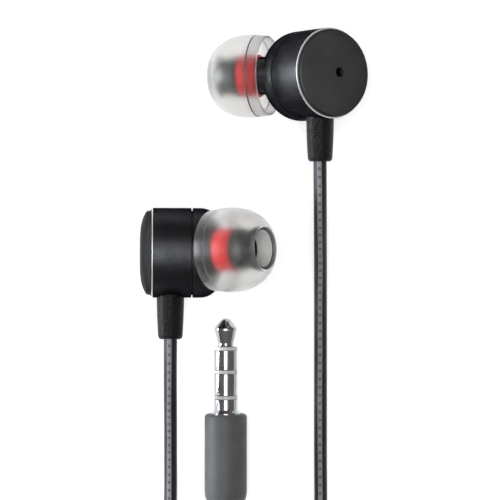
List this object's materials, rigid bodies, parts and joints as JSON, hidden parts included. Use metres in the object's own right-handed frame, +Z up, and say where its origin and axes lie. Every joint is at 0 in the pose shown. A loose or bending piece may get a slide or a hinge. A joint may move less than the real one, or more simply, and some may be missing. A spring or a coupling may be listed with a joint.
{
  "type": "wired in-ear earphones",
  "caption": "Wired in-ear earphones with angled nozzles, silicone tips, an in-line remote and a 3.5 mm four-pole plug, spare cord coiled and tied.",
  "frame": {"origin": "on the table, at the middle of the box that the two buds fill", "axes": "+Z up from the table, +Y from the plug towards the buds, +X to the wearer's left bud"},
  "size_m": [0.0405, 0.132, 0.0186],
  "materials": {
    "anodised": "black anodised, satin",
    "bright_metal": "diamond-cut bright edge",
    "matt_cap": "fine matt",
    "soft_black": "leather-like grain, matt",
    "silicone_clear": "milky translucent silicone",
    "silicone_grey": "smooth silicone",
    "silicone_red": "smooth silicone",
    "steel": "pressed",
    "magnet": "nickel plated",
    "copper": "enamelled wire",
    "film": "thin film",
    "mesh": "woven wire",
    "board": "solder mask",
    "cord": "dark grey jacket with rows of small dots",
    "nickel": "polished",
    "insulator": "smooth",
    "grip": "soft touch",
    "remote_plastic": "fine texture"
  },
  "bodies": {
    "earphones": {"right_rear_cap": "matt_cap", "right_vent_screen": "mesh", "right_trim_ring": "bright_metal", "right_barrel": "anodised", "right_front_housing": "anodised", "right_strain_relief": "soft_black", "right_cord_knot": "cord", "right_driver_frame": "remote_plastic", "right_driver_yoke": "steel", "right_driver_magnet": "magnet", "right_driver_top_plate": "steel", "right_voice_coil": "copper", "right_diaphragm": "film", "right_terminal_board": "board", "right_nozzle_screen": "mesh", "left_rear_cap": "matt_cap", "left_vent_screen": "mesh", "left_trim_ring": "bright_metal", "left_barrel": "anodised", "left_front_housing": "anodised", "left_strain_relief": "soft_black", "left_cord_knot": "cord", "left_driver_frame": "remote_plastic", "left_driver_yoke": "steel", "left_driver_magnet": "magnet", "left_driver_top_plate": "steel", "left_voice_coil": "copper", "left_diaphragm": "film", "left_terminal_board": "board", "left_nozzle_screen": "mesh", "plug_tip": "nickel", "plug_insulator_front": "insulator", "plug_ring_one": "nickel", "plug_insulator_middle": "insulator", "plug_ring_two": "nickel", "plug_insulator_rear": "insulator", "plug_sleeve": "nickel", "plug_grip": "grip", "remote_top_shell": "remote_plastic", "remote_bottom_shell": "remote_plastic", "remote_board": "board", "remote_switch": "steel", "remote_microphone": "magnet", "left_cord": "cord", "right_cord_upper": "cord", "right_cord_lower": "cord", "main_cord": "cord", "cord_coil": "cord", "splitter_body": "remote_plastic", "cord_tie": "soft_black"},
    "right_eartip": {"right_eartip_dome": "silicone_clear", "right_eartip_core": "silicone_grey", "right_eartip_band": "silicone_red"},
    "left_eartip": {"left_eartip_dome": "silicone_clear", "left_eartip_core": "silicone_grey", "left_eartip_band": "silicone_red"},
    "remote_key": {"remote_button": "grip"}
  },
  "joints": [
    {"name": "right_eartip_pull", "type": "slide", "parent": "earphones", "child": "right_eartip", "axis": [0.866, 0.0392, 0.4985], "range_m": [0, 0.006]},
    {"name": "left_eartip_pull", "type": "slide", "parent": "earphones", "child": "left_eartip", "axis": [-0.9397, 0, -0.342], "range_m": [0, 0.006]},
    {"name": "remote_button_press", "type": "slide", "parent": "earphones", "child": "remote_key", "axis": [0, 0, -1], "range_m": [0, 0.00035], "stiffness_N_per_m": 1500}
  ]
}
